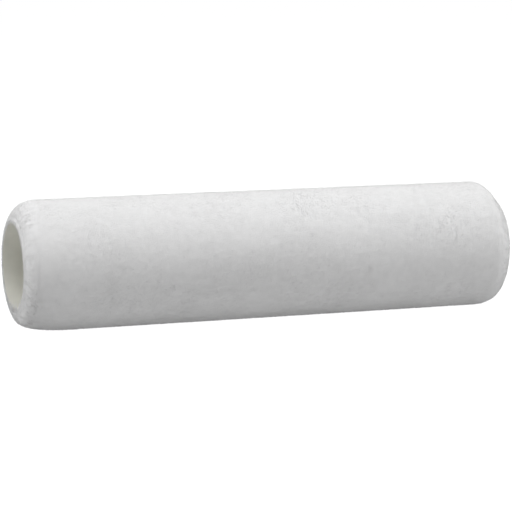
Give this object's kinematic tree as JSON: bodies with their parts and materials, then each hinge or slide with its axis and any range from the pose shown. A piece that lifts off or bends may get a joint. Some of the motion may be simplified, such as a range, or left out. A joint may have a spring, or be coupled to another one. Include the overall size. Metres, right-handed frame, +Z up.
{
  "type": "paint roller cover",
  "caption": "Paint roller cover: a hollow cylinder of white sheared pile on a wound plastic core, bevelled at its ends, that slides over the cage of a roller frame.",
  "frame": {"origin": "centre of the bore at the cover's mid length", "axes": "+X along the bore, +Z up with the cover lying on its side; the two ends are alike"},
  "size_m": [0.2286, 0.0574, 0.0575],
  "materials": {
    "core_plastic": "satin natural polypropylene, slightly translucent, with faint winding marks",
    "bond_plastic": "clear-to-milky polypropylene film squeezed thin between the wound strips",
    "backing_weave": "tight plain woven ground cloth soaked at the back with bonding film",
    "pile": "dense sheared white synthetic pile with a soft velvety sheen and faint tufting"
  },
  "bodies": {
    "root": {"inner_core_strip": "core_plastic", "core_bond_film": "bond_plastic", "outer_core_strip": "core_plastic", "fabric_bond_film": "bond_plastic", "fabric_backing": "backing_weave", "pile": "pile"}
  },
  "joints": []
}
